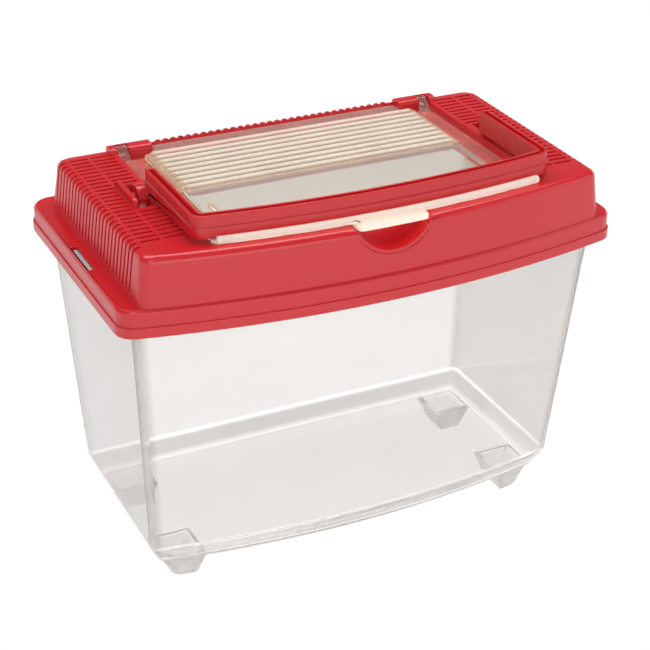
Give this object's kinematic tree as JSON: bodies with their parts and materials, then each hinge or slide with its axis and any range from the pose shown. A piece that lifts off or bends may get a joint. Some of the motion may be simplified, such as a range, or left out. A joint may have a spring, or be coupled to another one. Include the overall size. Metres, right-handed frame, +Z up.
{
  "type": "plastic pet keeper",
  "caption": "Clear tapered plastic tank with a bowed front, under a slotted red press-on lid with a clear hinged hatch and a folding carrying handle.",
  "frame": {"origin": "centre of the bounding box in plan, on the plane under the feet", "axes": "+X along the long side, the bowed front with the finger notch faces -Y, +Z up"},
  "size_m": [0.3, 0.174, 0.2361],
  "materials": {
    "tank_clear": "clear moulded polystyrene, glossy",
    "lid_red": "slightly translucent red moulded plastic, satin",
    "hatch_clear": "clear moulded polystyrene, glossy",
    "handle_red": "slightly translucent red moulded plastic, satin"
  },
  "bodies": {
    "tank": {"tank": "tank_clear"},
    "lid": {"lid": "lid_red"},
    "hatch": {"hatch": "hatch_clear"},
    "handle": {"handle": "handle_red"}
  },
  "joints": [
    {"name": "lid_lift", "type": "slide", "parent": "tank", "child": "lid", "axis": [0, 0, 1], "range_m": [0, 0.06]},
    {"name": "hatch_swing", "type": "hinge", "parent": "lid", "child": "hatch", "pos_m": [0, 0.0693, 0.2209], "axis": [-1, 0, 0], "range_deg": [0, 45]},
    {"name": "handle_swing", "type": "hinge", "parent": "lid", "child": "handle", "pos_m": [0, 0.006, 0.2203], "axis": [-1, 0, 0], "range_deg": [0, 90]}
  ],
  "couplings": [
    {"joint": "handle_swing", "follows": "hatch_swing", "ratio": 2}
  ]
}
